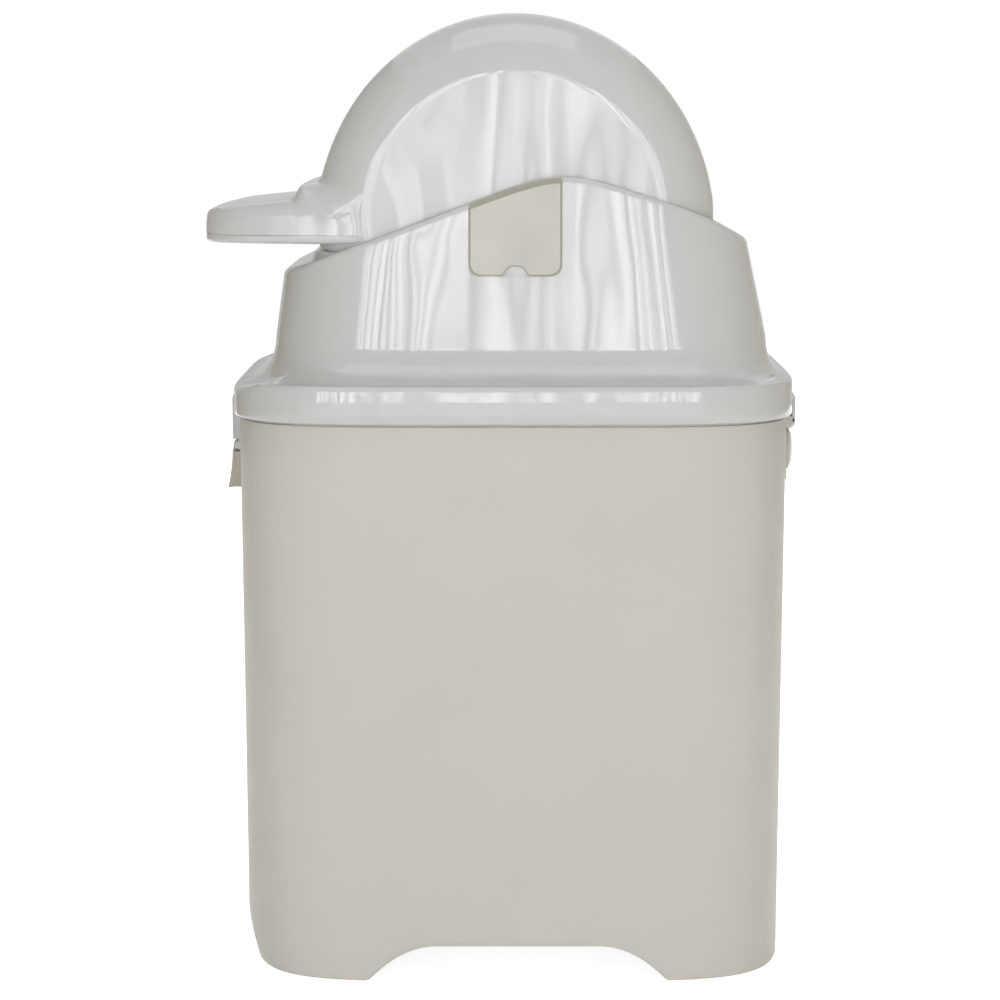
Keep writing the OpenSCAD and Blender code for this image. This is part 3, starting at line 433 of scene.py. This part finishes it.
def head_skin():
    """One closed shell: up the rim, flare and shroud, over the deck to its opening, and back inside."""
    foot, shoulder = shroud_points(FLARE_TOP, 0), rim_points(RIM_EDGE_R)
    opening = outline(OPEN_A, OPEN_A, OPEN_B, OPEN_N, OPEN_X)
    edge = shroud_points(AXLE_Z, 0)
    for _ in range(6):
        edge = shroud_points(crest(edge[:, 0]) - ROLL_R, 0)
    room = np.linalg.norm(edge - opening, axis=1)
    rise = smooth((room - 4)/8)
    lip = LIP_H*rise*smooth(-opening[:, 0]/OPEN_A)

    def flare(a, inset):
        p = mix(shoulder, foot, math.sin(a))
        q = p*(1 - inset*math.sin(a)/np.linalg.norm(p, axis=1))[:, None]
        return at(q, FLARE_TOP - (FLARE_TOP - rim_top_at(shoulder) + inset)*math.cos(a))

    def wall(f, inset, below):
        z = mix(FLARE_TOP, crest(edge[:, 0]) - below, f)
        return at(shroud_points(z, inset), z)

    def deck(d, up):
        p = mix(opening, edge, (d/room)[:, None])
        return at(p, crest(p[:, 0]) + up)

    turn = np.radians([15, 30, 45, 60, 75, 90])
    rings = [at(rim_points(i), SEAM_Z + up) for i, up in ((0.8, 0), (0.23, 0.23), (0, 0.8))]
    rings += [rim_ring(0, b) for b in (14, 9, RIM_EDGE_R)]
    rings += [rim_ring(RIM_EDGE_R*(1 - math.cos(a)), RIM_EDGE_R*(1 - math.sin(a))) for a in turn]
    rings += [flare(a, 0) for a in np.radians(np.linspace(0, 90, 19)[1:])]
    rings += [wall(f, 0, ROLL_R) for f in np.linspace(0, 1, 8)[1:]]
    rings += [deck(room - ROLL_R*(1 - math.cos(a)), -ROLL_R*(1 - math.sin(a))) for a in turn]
    start, span = np.minimum(6, 0.3*room), np.minimum(4.5, 0.2*room)
    rings += [deck(mix(room - ROLL_R, start, f), 0) for f in (0.3, 0.6, 0.85, 1)]
    rings += [deck(mix(start, span, f), lip*g) for f, g in ((0.45, 0.12), (0.75, 0.5), (0.95, 0.85))]
    rings += [deck(span*f, lip*g) for f, g in ((0.85, 1), (0.4, 1), (0.2, 0.96), (0.05, 0.85))]
    rings += [deck(0, 0.6*lip - 0.3), deck(0, -DECK_T - 1.5*rise)]
    rings += [deck(mix(0.12, 2.5, rise), -DECK_T - 1.5*rise), deck(mix(0.24, 2.7, rise), -DECK_T)]
    rings += [wall(f, HEAD_WALL, DECK_T) for f in (1, 0.5, 0)]
    rings += [flare(a, HEAD_WALL) for a in np.radians([75, 60, 45, 30, 15, 0])]
    inside, rib = rim_points(HEAD_WALL), rim_points(3 + BODY_WALL + 0.8)
    rib_top = GASKET_RIB_Z + GASKET_RIB_H
    rings += [rim_ring(HEAD_WALL, RIM_EDGE_R + 1), at(inside, rib_top), at(rib, rib_top),
              at(rib, GASKET_RIB_Z), at(inside, GASKET_RIB_Z), at(inside, SEAM_Z)]
    return loft(rings)


def on_wall(u, v, w):
    """A point of the near side wall's plane: along X, up the slope, and out of the wall."""
    a = math.radians(90 - SIDE_LEAN)
    return [u, -WALL_Y + v*math.cos(a) - w*math.sin(a), AXLE_Z + v*math.sin(a) + w*math.cos(a)]


def clip_line(grow, drop, notched=True):
    """The clip's outline on the wall: round lower corners, a notch below, a top that follows the crest."""
    w, low, r = CLIP_W/2 + grow, -CLIP_DROP - grow, CLIP_ROUND
    corner = [(w - r + r*math.sin(a), low + r - r*math.cos(a)) for a in np.radians(np.linspace(0, 90, 9))]
    top = [(x, crest(x) - AXLE_Z - drop) for x in np.linspace(w, -w, 17)]
    bell = [(-1.1, 0), (-1.0, 0.04), (-0.86, 0.34), (-0.66, 0.74), (-0.42, 0.95), (-0.15, 1)]
    bell += [(-x, y) for x, y in reversed(bell)]
    notch = [(NOTCH_W/2*x, low + NOTCH_H*y) for x, y in bell] if notched else []
    return notch + corner + top + [(-x, y) for x, y in reversed(corner)]


def plate(layers):
    """A solid on the wall through layers of outlines, each with its height out of the wall."""
    return loft([np.array([on_wall(u, v, w) for u, v in line]) for line, w in layers], caps=True)


def tab_profile(reach, foot):
    """A tab from the side: flush into the rim above, and hanging down in front of it."""
    root, back = RIM_A - 1.2, reach - TAB_T
    outer = [(reach, foot), (reach, SEAM_Z + 1.5), (reach - 0.9, SEAM_Z + 4), (RIM_A - 0.3, SEAM_Z + 8)]
    return outer + [(root, SEAM_Z + 8), (root, SEAM_Z + 1), (back - 1, SEAM_Z + 1),
                    (back, SEAM_Z), (back, foot)]


def head_tabs():
    """The front tab with its cheeks, and the rear hinge's ears, knuckles and middle."""
    front = [(-x, z) for x, z in tab_profile(-LATCH_X + LATCH_R, LATCH_Z + LATCH_R + 0.6)]
    reach = HINGE_X + HINGE_R
    knuckle = tube(HINGE_R, PIN_R + 0.05, KNUCKLE_W/2 + 0.5, TAB_W/2, HINGE_X, HINGE_Z, 0.3)
    ear = prism(tab_profile(reach, HINGE_Z), KNUCKLE_W/2 + 0.5, TAB_W/2, 0.3)
    middle = prism(tab_profile(reach, HINGE_Z + HINGE_R + 1.6), -KNUCKLE_W/2 - 0.8, KNUCKLE_W/2 + 0.8, 0.3)
    face, foot, root = LATCH_X - LATCH_R + 0.2, LATCH_Z + LATCH_R + 0.6, -RIM_A + 1.2
    web = [(face, foot), (face, SEAM_Z + 3), (root, SEAM_Z + 3), (root, foot)]
    cheek = prism(web, TAB_W/2 - CHEEK, TAB_W/2 - 0.05, 0.3)
    parts = [prism(front, -TAB_W/2, TAB_W/2, 0.5), middle]
    parts += [q for p in (knuckle, ear, cheek) for q in (p, mirrored(p))]
    return [moved(p, -BODY_LEAD) for p in parts]


head = mesh_object("head_cover", head_skin())
pocket_line = clip_line(0.5, -5, notched=False)
pocket = plate([(pocket_line, -POCKET), (pocket_line, 3)])
hole = rod(PIVOT_BORE, -WALL_Y - 5, -HOOD_W/2)
cut(head, pocket, mirrored(pocket))
cut(head, hole, mirrored(hole))
piece(head, "head", ["head_shell"], "white_plastic", white)
boss = tube(BOSS_R, PIVOT_BORE, -WALL_Y + 2, -HOOD_W/2 - 2, 0, AXLE_Z)
fittings = mesh_object("head_fittings", join(boss, mirrored(boss), *head_tabs()))
piece(fittings, "head", ["head_shell"], "white_plastic", white)


# Hood
def dome_radius(angle):
    """The hood's radius at an angle above the axle: a tall oval set low, kept within a plain circle."""
    c, s = np.cos(angle), np.maximum(0, np.sin(angle))
    a = (c/OVAL_X)**2 + (s/OVAL_Z)**2
    b = 2*OVAL_LOW*s/OVAL_Z**2
    r = (-b + np.sqrt(b*b - 4*a*((OVAL_LOW/OVAL_Z)**2 - 1)))/(2*a)
    return np.where(np.sin(angle) > 0, np.minimum(r, HOOD_R), HOOD_R)


def dome():
    """The drum's wall with round sides, outside and inside."""
    angles = np.radians(np.linspace(-HOOD_OVER, 180 + HOOD_OVER, 240))
    bend = np.radians(np.linspace(-90, 90, 37))

    def profile(inset):
        side = np.where(bend < 0, -DRUM_FLAT, DRUM_FLAT)
        y = side + (HOOD_ROUND - inset)*np.sin(bend)
        lean = np.cos(bend)
        at_top = np.argmax(lean)
        across = np.concatenate([y[:at_top], np.linspace(-DRUM_FLAT, DRUM_FLAT, 9), y[at_top + 1:]])
        return across, np.concatenate([lean[:at_top], np.ones(9), lean[at_top + 1:]])

    rows = []
    for angle in angles:
        r_out = float(dome_radius(angle))
        loop = []
        for inset in (0.0, HOOD_WALL):
            y, lean = profile(inset)
            r = DISC_R + (r_out - inset - DISC_R)*lean
            line = np.stack([r*math.cos(angle), y, AXLE_Z + r*math.sin(angle)], 1)
            loop.append(line if inset == 0 else line[::-1])
        rows.append(np.concatenate(loop))
    return loft(rows, caps=True)


def side_disc():
    """The drum's flat near side, with the hub on its inside."""
    a = np.linspace(0, 2*math.pi, 160, endpoint=False)
    y1, y0 = -HOOD_W/2, -HOOD_W/2 + HOOD_WALL
    rows = [(DISC_R, y1), (DISC_R, y0), (HUB_R, y0), (HUB_R, -HUB_IN),
            (HUB_BORE, -HUB_IN), (HUB_BORE, y1 + 0.3), (HUB_BORE + 0.3, y1)]
    return loft([np.stack([r*np.cos(a), np.full(160, y), AXLE_Z + r*np.sin(a)], 1) for r, y in rows])


def drum_edge(y):
    """The drum's radius at a distance along the axle."""
    over = np.maximum(0, np.abs(y) - DRUM_FLAT)/HOOD_ROUND
    return DISC_R + (HOOD_R - DISC_R)*np.sqrt(np.maximum(0, 1 - over*over))


def dome_point(angle):
    """A point of the hood's arch, as X and Z."""
    r = float(dome_radius(angle))
    return np.array([r*math.cos(angle), AXLE_Z + r*math.sin(angle)])


def handle_plan(inset=0.0):
    """Half of the handle's outline from above: round corners, and flush with the hood's side at its root."""
    corners = [(-HANDLE_X, 0), (-HANDLE_X, HANDLE_ROOT - 1.4*HANDLE_TAPER), (-HOOD_R, HANDLE_ROOT + 0.6),
               (-DISC_R - 6, HOOD_W/2 - 0.3), (-DISC_R + 20, HOOD_W/2)]
    line = np.array(rounded(corners, [HANDLE_ROUND + 3, 16, 10], 13))
    run = np.gradient(line, axis=0)
    run /= np.linalg.norm(run, axis=1)[:, None]
    return (line + inset*np.stack([run[:, 1], -run[:, 0]], 1)).T


def handle_line():
    """The handle's top from the side: a step, then a hollow bend that runs out along the dome."""
    z0 = HANDLE_LOW + HANDLE_T
    joint = dome_point(ROOT_ANGLE)
    rise = dome_point(ROOT_ANGLE - 0.01) - joint
    level = z0 + KNEE_UP
    knee = joint - rise*(joint[1] - level)/rise[1]
    reach = float(np.linalg.norm(joint - knee))
    corners = [(-HANDLE_X - 6, z0 - 0.6), (-HANDLE_X + 1.5, z0 + 0.4), (-HANDLE_X + 12, z0 + 3.0),
               (-HOOD_R - 12.5, z0 + 6.6), (-HOOD_R - 9, z0 + 12.8), (knee[0] - 1.05*reach, level - 0.6),
               tuple(knee), tuple(knee + 2.1*(joint - knee))]
    return np.array(rounded(corners, [2, 5, 3.5, 3, 4, reach], 9)[:-1])


def handle_body():
    """Sections from the tip to the drum: upright at first, then fanned around the drum's corner."""
    tip, line, plan, root = -HANDLE_X, handle_line(), handle_plan(), dome_point(ROOT_ANGLE)
    near_tip = tip + TIP_R*(1 - np.cos(np.radians(np.linspace(0, 90, 7))))
    stations = []
    for x in np.concatenate([near_tip, np.linspace(tip + TIP_R + 1, BEND_FROM, 30)]):
        ahead = max(0, tip + TIP_R - x)
        stations.append((x, np.interp(x, *line.T) - TIP_R + math.sqrt(max(0, TIP_R**2 - ahead**2))))
    dense = line[line[:, 0] > BEND_FROM]
    stations += [mix(p, q, f) for p, q in zip(dense[:-1], dense[1:]) for f in (0, 0.5)]
    stations += [dome_point(a) for a in np.linspace(ROOT_ANGLE, ROOT_ANGLE - 0.3, 8)]
    fan = np.radians(np.linspace(0, 90, 13))
    across = np.linspace(1, -1, 20)[1:-1]
    rows = []
    for x, z in stations:
        t = float(smooth((x - BEND_FROM)/(root[0] - BEND_FROM)))
        lean = mix(-math.pi/2, math.atan2(AXLE_Z - z, -x), t)
        depth = mix(EDGE_DEPTH, math.hypot(x, z - AXLE_Z) - DISC_R, t)
        breadth, sag = mix(EDGE_BREADTH, HOOD_ROUND, t), HANDLE_CROWN*(1 - t)
        sunk = 0.12*t if x > root[0] else 0.0
        inward = depth*(1 - np.sin(fan)) + sunk
        px, pz = x + math.cos(lean)*inward, z + math.sin(lean)*inward - sag
        w = float(np.interp(px[0], *plan)) - sunk
        y = w - breadth + breadth*np.cos(fan)
        foot = [(px[0], w, HANDLE_SEAM + SEAM_GAP), (px[0], w, (HANDLE_SEAM + pz[0])/2)]
        side = foot + list(zip(px, y, pz))
        top = [(x + math.cos(lean)*sunk, y[-1]*v, z + math.sin(lean)*sunk - sag*v*v) for v in across]
        base = [(px[0], v, HANDLE_SEAM) for v in np.linspace(SEAM_GAP - w, w - SEAM_GAP, 10)]
        rows.append(np.array(side + top + [(p, -q, r) for p, q, r in reversed(side)] + base))
    return loft(rows, caps=True)


def under_back(y):
    """Where the lower cover ends, a little in front of the drum's wall."""
    return -(np.sqrt(np.maximum(0, drum_edge(y)**2 - UNDER_DROP**2)) + UNDER_CLEAR)


def underplate():
    """The handle's lower cover, with a round edge along its outer outline."""
    e, gap = UNDER_EDGE, SEAM_GAP
    layers = [(gap + 0.13, HANDLE_SEAM - gap), (gap, HANDLE_SEAM - gap - 0.13), (gap, HANDLE_LOW + e)]
    layers += [(gap + e*(1 - math.cos(a)), HANDLE_LOW + e*(1 - math.sin(a)))
               for a in np.radians(np.linspace(0, 90, 6)[1:])]
    rings = []
    for inset, z in layers:
        x, y = handle_plan(inset)
        places = np.linspace(0, np.sum(x < UNDER_END) - 1, 60)
        x, y = (np.interp(places, np.arange(len(v)), v) for v in (x, y))
        back = np.linspace(1, -1, 24)[1:-1]*y[-1]
        loop = list(zip(x, -y))[:0:-1] + list(zip(x, y)) + list(zip(under_back(back), back))
        rings.append(np.array([(px, py, z) for px, py in loop]))
    return loft(rings, caps=True)


def screw_hole(x, y):
    """A countersink with a narrower hole through the lower cover."""
    a = np.linspace(0, 2*math.pi, 32, endpoint=False)
    rows = [(SCREW_HEAD, HANDLE_LOW - 1), (SCREW_HEAD, SCREW_SEAT), (SCREW_R, SCREW_SEAT),
            (SCREW_R, HANDLE_SEAM + 1)]
    return loft([np.stack([x + r*np.cos(a), y + r*np.sin(a), np.full(32, z)], 1) for r, z in rows], caps=True)


hood = mesh_object("hood_cover", join(dome(), side_disc(), mirrored(side_disc()), handle_body()))
piece(hood, "hood", ["hood_shell"], "white_plastic", white)
under = mesh_object("handle_cover", underplate())
cut(under, *[screw_hole(x, side*y) for x, y in HANDLE_SCREWS for side in (-1, 1)])
piece(under, "hood", ["handle_underplate"], "white_plastic", white)


# Pivot clips
def clip_part():
    """The near clip: a bevelled plate that follows the wall, and a hollow spigot."""
    face, back = CLIP_T - CLIP_BACK, -CLIP_BACK
    steps = ((-0.15, 0.6, back), (0, 0.4, back + 0.15), (0, 0.6, back + 0.4), (0, 2.9, face - 0.25),
             (-0.7, 3.5, face))
    spigot = tube(SPIGOT_R, SPIGOT_R - 2, -WALL_Y + 0.2, -HUB_IN - 3, 0, AXLE_Z, 0.5)
    return join(plate([(clip_line(grow, drop), w) for grow, drop, w in steps]), spigot)


clip = clip_part()
for side, part in (("near", clip), ("far", mirrored(clip))):
    obj = mesh_object(f"clip_{side}", part)
    piece(obj, f"{side}_clip", [f"pivot_clip_{side}"], "pearl_plastic", pearl, pearl_edge_painted_shade, sharp=12)
    # The plate's bevel faces take the second, darker pearl, which paints shade on the bevel.
    for f in obj.data.polygons:
        on_plate = abs(f.center.y) > (WALL_Y - 4)*MM
        f.material_index = 1 if on_plate and abs(f.normal.y) < 0.985 else 0


# Latch lever
def latch_part():
    """A flared skirt with side cheeks, hung on two barrels with a catch finger each."""
    r, out, waist = LATCH_R, LATCH_R + FLAP_FLARE, -0.65*FLAP_H
    heel, tip = -r - 0.2, -FLAP_H + 0.2
    front = rounded([(-r, 0.4), (heel, -5.5), (-r - 1.1, waist), (-out, -FLAP_H)], [3, 5], 6)
    rear = [(-out + FLAP_T, -FLAP_H - 0.3), (-r - 1.1 + FLAP_T, waist), (heel + FLAP_T, -5.5)]
    skirt = front[1:] + rounded(rear, [5], 6)
    neck = [(-r, 0), (heel, -6.2), (heel + FLAP_T, -6.2), (-1, -3), (-1.4, 0)]
    finger = [(0, 0), (0, 5.5), (1.5, 5.5), (1.5, 0)]
    web = [(-r + 0.3, -3.4), (-r - 0.8, waist), (-out + 0.4, tip), (2.4, tip), (2.8, tip + 1.3), (2.8, -3.4)]
    room, barrel_y = 6.0, TAB_W/2 - 5.1

    def on_pin(profile, y0, y1, edge):
        return prism([(LATCH_X + x, LATCH_Z + z) for x, z in profile], y0, y1, edge)

    barrel = tube(r, PIN_R + 0.05, room, barrel_y, LATCH_X, LATCH_Z, 0.3)
    hook = on_pin(finger, room + 2, room + 9, 0.3)
    cheek = on_pin(web, TAB_W/2 - CHEEK, TAB_W/2 - 0.05, 0.3)
    parts = [on_pin(skirt, -TAB_W/2, TAB_W/2, 0.5), on_pin(neck, -barrel_y, barrel_y, 0.2)]
    parts += [q for p in (barrel, hook, cheek) for q in (p, mirrored(p))]
    return moved(join(*parts), -BODY_LEAD)


piece(mesh_object("latch_lever", latch_part()), "latch", ["latch_flap"], "pale_plastic", flap)


# Release button
def button_part():
    """A long oval button with a collar behind and a slightly crowned face."""
    half, r = BUTTON_LONG/2, BUTTON_H/2
    a = np.linspace(-90, 90, 33)
    y = np.repeat([half, -half], len(a))
    spin = np.radians(np.concatenate([a, a + 180]))

    def oval(grow, x):
        along = y*min(1, 1 + grow/r) + (r + grow)*np.cos(spin)
        return np.stack([np.full(len(y), x), along, BUTTON_Z + (r + grow)*np.sin(spin)], 1)

    collar = BUTTON_FACE - 3.5
    rows = [oval(COLLAR, BUTTON_BACK), oval(COLLAR, collar), oval(0, collar), oval(0, BUTTON_FACE - 1.1)]
    crown = ((0.15, 0.8), (0.5, 0.5), (1.2, 0.28), (3, 0.12), (6, 0.03))
    rows += [oval(-shrink, BUTTON_FACE - back) for shrink, back in crown]
    return moved(loft(rows, caps=True), -BODY_LEAD)


piece(mesh_object("button_cap", button_part()), "button", ["release_button"], "pale_plastic", pale)


# Set, lamps and camera
def flat_plane(name, size, location, rotation, material, seen=True):
    """A flat stage piece. One that isn't seen still lights the object and is mirrored in it."""
    mesh = bpy.data.meshes.new(name)
    x, y = size[0]/2, size[1]/2
    mesh.from_pydata([(-x, -y, 0), (x, -y, 0), (x, y, 0), (-x, y, 0)], [], [(0, 1, 2, 3)])
    mesh.materials.append(material)
    obj = bpy.data.objects.new(name, mesh)
    obj.location, obj.rotation_euler = location, [math.radians(v) for v in rotation]
    bpy.context.scene.collection.objects.link(obj)
    obj.visible_camera = seen


def seen_white(tree):
    """One where a camera, glossy or transmission ray arrives, and none for the rest."""
    path = tree.nodes.new("ShaderNodeLightPath")
    seen = path.outputs["Is Camera Ray"]
    for ray in ("Is Glossy Ray", "Is Transmission Ray"):
        either = tree.nodes.new("ShaderNodeMath")
        either.operation = "MAXIMUM"
        tree.links.new(seen, either.inputs[0])
        tree.links.new(path.outputs[ray], either.inputs[1])
        seen = either.outputs[0]
    return seen


def floor_paper():
    """Pale paper that looks white and keeps the object's shadow."""
    m, tree, shader = new_material("floor_paper")
    shader.inputs["Base Color"].default_value = (0.93, 0.93, 0.93, 1)
    shader.inputs["Roughness"].default_value = 0.8
    glow = tree.nodes.new("ShaderNodeEmission")
    glow.inputs["Strength"].default_value = 0.82
    both = tree.nodes.new("ShaderNodeAddShader")
    pick = tree.nodes.new("ShaderNodeMixShader")
    tree.links.new(shader.outputs[0], both.inputs[0])
    tree.links.new(glow.outputs[0], both.inputs[1])
    tree.links.new(seen_white(tree), pick.inputs[0])
    tree.links.new(shader.outputs[0], pick.inputs[1])
    tree.links.new(both.outputs[0], pick.inputs[2])
    tree.links.new(pick.outputs[0], tree.nodes["Material Output"].inputs["Surface"])
    return m


def window_light():
    """Light through a curtain, in soft vertical folds."""
    m, tree, _ = new_material("window_light")
    coords = tree.nodes.new("ShaderNodeTexCoord")
    folds = noise(tree, coords, 3.2, 5, (6, 0.12, 1))
    glow = tree.nodes.new("ShaderNodeEmission")
    glow.inputs["Color"].default_value = (1.0, 0.995, 0.985, 1)
    tree.links.new(spread(tree, folds.outputs["Fac"], 1.4, 10.2, 0.06), glow.inputs["Strength"])
    tree.links.new(glow.outputs[0], tree.nodes["Material Output"].inputs["Surface"])
    return m


def card_grey(colour):
    m, _, shader = new_material("card_grey")
    shader.inputs["Base Color"].default_value = (*colour, 1)
    shader.inputs["Roughness"].default_value = 0.9
    return m


def wall_grey():
    """A plain grey glow with no shine of its own."""
    m, _, shader = new_material("wall_grey")
    shader.inputs["Base Color"].default_value = (0, 0, 0, 1)
    shader.inputs["Specular IOR Level"].default_value = 0
    shader.inputs["Emission Color"].default_value = (0.6, 0.595, 0.58, 1)
    shader.inputs["Emission Strength"].default_value = 1.0
    return m


def studio_world():
    """White where it is seen or mirrored, and an even warm grey light for the rest."""
    world = bpy.data.worlds.new("studio")
    world.use_nodes = True
    tree = world.node_tree
    shade = tree.nodes.new("ShaderNodeMix")
    shade.data_type = "RGBA"
    shade.inputs["A"].default_value = (0.335, 0.33, 0.313, 1)
    shade.inputs["B"].default_value = (1, 1, 1, 1)
    tree.links.new(seen_white(tree), shade.inputs["Factor"])
    back = tree.nodes["Background"]
    tree.links.new(shade.outputs["Result"], back.inputs["Color"])
    back.inputs["Strength"].default_value = 1.0
    return world


def area_lamp(name, size, location, power):
    """A lamp aimed at the middle of the bin."""
    lamp = bpy.data.lights.new(name, "AREA")
    lamp.shape, lamp.size, lamp.size_y = "RECTANGLE", size[0], size[1]
    lamp.energy = power
    obj = bpy.data.objects.new(name, lamp)
    obj.location = location
    obj.rotation_euler = (Vector((0, 0, 0.3)) - Vector(location)).to_track_quat("-Z", "Y").to_euler()
    bpy.context.scene.collection.objects.link(obj)
    return obj


scene = bpy.context.scene
flat_plane("floor", (9, 9), (0, 0, -0.0002), (0, 0, 0), floor_paper())
scene.world = studio_world()

# A tall curtained window behind the camera, mirrored by the glossy sides
flat_plane("window", (2.6, 0.78), (-0.1, -2.7, 0.485), (90, 0, 0), window_light(), seen=False)
area_lamp("overhead", (1.6, 1.6), (0, -0.2, 2.4), 12)
area_lamp("back_fill", (2.4, 1.4), (0.2, 3.0, 1.9), 22).visible_glossy = False

# Grey cards out of view, so that the white edges stay readable against the backdrop
for side, grey in ((-1, (0.54, 0.51, 0.435)), (1, (0.80, 0.77, 0.69))):
    flat_plane("card", (1.8, 6.0), (side*1.25, 1.5, 0.9), (0, 90, 0), card_grey(grey), seen=False)

# A low grey wall of light far behind, mirrored by the handle's top and the hood's crown
flat_plane("back_wall", (2.4, 0.9), (0, 2.4, 0.47), (90, 0, 0), wall_grey(), seen=False)

camera = bpy.data.objects.new("camera", bpy.data.cameras.new("camera"))
camera.location = (-0.00335, -1.662, 0.474)
camera.rotation_euler = (math.radians(90 - 7.9), 0, 0)
camera.data.lens, camera.data.sensor_width = 104.4, 36
scene.collection.objects.link(camera)
scene.camera = camera
scene.view_settings.view_transform = "Standard"
